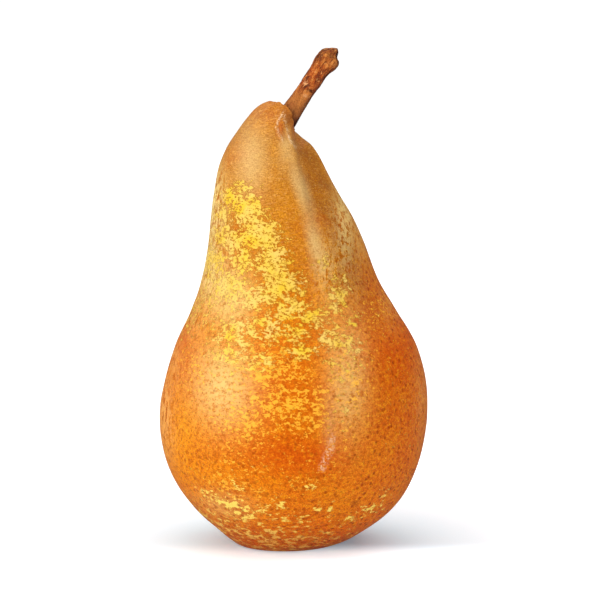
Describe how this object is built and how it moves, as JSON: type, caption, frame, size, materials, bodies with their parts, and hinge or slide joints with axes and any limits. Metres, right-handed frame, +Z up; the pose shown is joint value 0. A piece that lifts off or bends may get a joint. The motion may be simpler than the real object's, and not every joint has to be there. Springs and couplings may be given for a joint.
{
  "type": "pear",
  "caption": "Whole fresh pear with a mottled russet skin, a long leaning neck and a short woody stem, standing upright on its base.",
  "frame": {"origin": "bottom centre of the box around the pear, on the level of the ring that it stands on", "axes": "+Z up, the pear's long direction; -Y towards the front of the pear as seen in the picture; +X to the right, the way the stem leans"},
  "size_m": [0.0724, 0.0718, 0.1338],
  "materials": {
    "skin": "satin russet fruit skin with yellow patches and brown dots",
    "stem_bark": "rough reddish brown bark",
    "dried_calyx": "dry dark brown sepals"
  },
  "bodies": {
    "root": {"fruit": "skin", "stem": "stem_bark", "calyx": "dried_calyx"}
  },
  "joints": []
}
